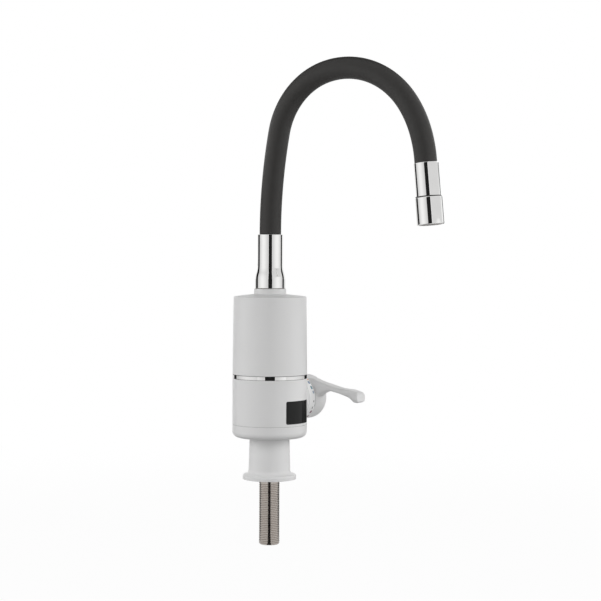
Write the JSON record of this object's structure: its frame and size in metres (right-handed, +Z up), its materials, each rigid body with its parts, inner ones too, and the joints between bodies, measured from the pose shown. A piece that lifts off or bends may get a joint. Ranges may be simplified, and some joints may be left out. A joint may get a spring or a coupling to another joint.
{
  "type": "electric instant water heater tap",
  "caption": "Electric instant water heater tap with a flexible arched spout, white two-part body, front display, side lever and threaded deck shank.",
  "frame": {"origin": "middle of the flange's underside, on the shank's axis, at the deck's top surface", "axes": "+Z up along the body, spout and display towards -Y, lever knob towards +X"},
  "size_m": [0.1137, 0.237, 0.4914],
  "materials": {
    "white_plastic": "glossy moulded plastic",
    "bright_chrome": "polished chrome plate",
    "thread_steel": "cut thread",
    "black_window": "glossy dark window",
    "grey_rubber": "moulded rubber",
    "screw_steel": "plated",
    "brass": "machined",
    "engineering_plastic": "moulded",
    "ceramic": "lapped ceramic",
    "tank_steel": "drawn steel",
    "copper": "tinned copper",
    "circuit_board": "laminate",
    "black_plastic": "moulded",
    "dark_silicone": "matte silicone",
    "clear_hose": "flexible tube"
  },
  "bodies": {
    "tap_body": {"pedestal": "white_plastic", "bottom_cap": "white_plastic", "lower_housing": "white_plastic", "upper_housing": "white_plastic", "dial_ring": "white_plastic", "trim_ring": "bright_chrome", "threaded_shank": "thread_steel", "display_window": "black_window", "deck_seal": "grey_rubber", "tank_seal": "grey_rubber", "cable_gland": "grey_rubber", "pedestal_screws": "screw_steel", "case_screws": "screw_steel", "tank_screws": "screw_steel", "inlet_coupling": "brass", "valve_body": "brass", "valve_nut": "brass", "spout_socket": "brass", "socket_nut": "brass", "cartridge_body": "engineering_plastic", "flow_switch_body": "engineering_plastic", "chassis_plate": "engineering_plastic", "terminal_block": "engineering_plastic", "reed_switch": "engineering_plastic", "fixed_disc": "ceramic", "heater_flange": "tank_steel", "heater_tank": "tank_steel", "heater_element": "tank_steel", "temperature_probe": "tank_steel", "terminal_straps": "copper", "heater_leads": "copper", "display_board": "circuit_board", "control_board": "circuit_board", "digit_block": "black_plastic", "triac": "black_plastic", "thermal_cutout": "black_plastic"},
    "spout_base": {"base_sleeve": "bright_chrome", "spout_nipple": "brass", "hose_ferrule": "brass", "swivel_orings": "grey_rubber", "snap_ring": "screw_steel"},
    "spout_hose": {"hose_sleeve": "dark_silicone", "hose_core": "tank_steel", "hose_liner": "clear_hose"},
    "spout_tip": {"nozzle_sleeve": "bright_chrome", "nozzle_insert": "brass", "nozzle_seal": "grey_rubber"},
    "spray_head": {"spray_cup": "bright_chrome", "aerator_insert": "engineering_plastic", "aerator_screen": "screw_steel"},
    "lever": {"lever_handle": "white_plastic", "lever_cap": "white_plastic", "lever_screw": "screw_steel", "valve_spindle": "brass", "moving_disc": "ceramic"},
    "flow_plunger": {"flow_piston": "brass"}
  },
  "joints": [
    {"name": "spout_swivel", "type": "hinge", "parent": "tap_body", "child": "spout_base", "pos_m": [0, 0, 0.1943], "axis": [0, 0, 1], "continuous": true},
    {"name": "hose_root_bend", "type": "hinge", "parent": "spout_base", "child": "spout_hose", "pos_m": [0, -0.00209, 0.29594], "axis": [1, 0, 0], "range_deg": [-25, 25], "deforming": ["hose_sleeve", "hose_core", "hose_liner"]},
    {"name": "hose_tip_bend", "type": "hinge", "parent": "spout_hose", "child": "spout_tip", "pos_m": [0, -0.16694, 0.36062], "axis": [1, 0, 0], "range_deg": [-30, 30], "deforming": ["hose_sleeve", "hose_core", "hose_liner"]},
    {"name": "spray_twist", "type": "hinge", "parent": "spout_tip", "child": "spray_head", "pos_m": [0, -0.17771, 0.31819], "axis": [0, -0.0958, -0.9954], "range_deg": [0, 90]},
    {"name": "lever_turn", "type": "hinge", "parent": "tap_body", "child": "lever", "pos_m": [0, 0, 0.0794], "axis": [1, 0, 0], "range_deg": [-45, 45]},
    {"name": "flow_lift", "type": "slide", "parent": "tap_body", "child": "flow_plunger", "axis": [0, 0, 1], "range_m": [0, 0.0049]}
  ]
}
